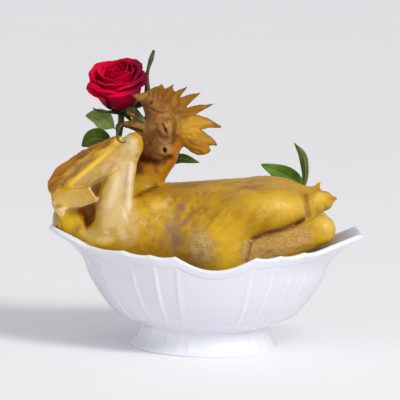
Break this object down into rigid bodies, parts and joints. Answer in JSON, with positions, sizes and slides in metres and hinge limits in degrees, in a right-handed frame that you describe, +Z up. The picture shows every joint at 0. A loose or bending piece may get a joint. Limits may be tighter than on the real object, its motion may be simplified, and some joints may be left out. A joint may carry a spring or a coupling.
{
  "type": "boiled whole chicken in a footed bowl",
  "caption": "Golden boiled whole chicken with its head raised and a red rose in its beak, sitting in a white lobed footed bowl with green leaves.",
  "frame": {"origin": "centre of the bowl's foot, on the surface that it stands on", "axes": "+Z up, +X from the breast to the tail along the bowl's length, -Y the front of the bowl"},
  "size_m": [0.3319, 0.238, 0.3102],
  "materials": {
    "bowl": "glossy white glaze",
    "chicken": "moist golden skin",
    "rose_bloom": "velvety petals",
    "rose_stem": "satin green",
    "leaf": "satin green with pale veins"
  },
  "bodies": {
    "root": {"bowl": "bowl", "chicken": "chicken", "rose_bloom": "rose_bloom", "rose_stem": "rose_stem", "twig_back": "rose_stem", "rose_leaf_upper": "leaf", "rose_leaf_lower": "leaf", "leaf_neck": "leaf", "leaf_back_low": "leaf", "leaf_back_tall": "leaf"}
  },
  "joints": []
}
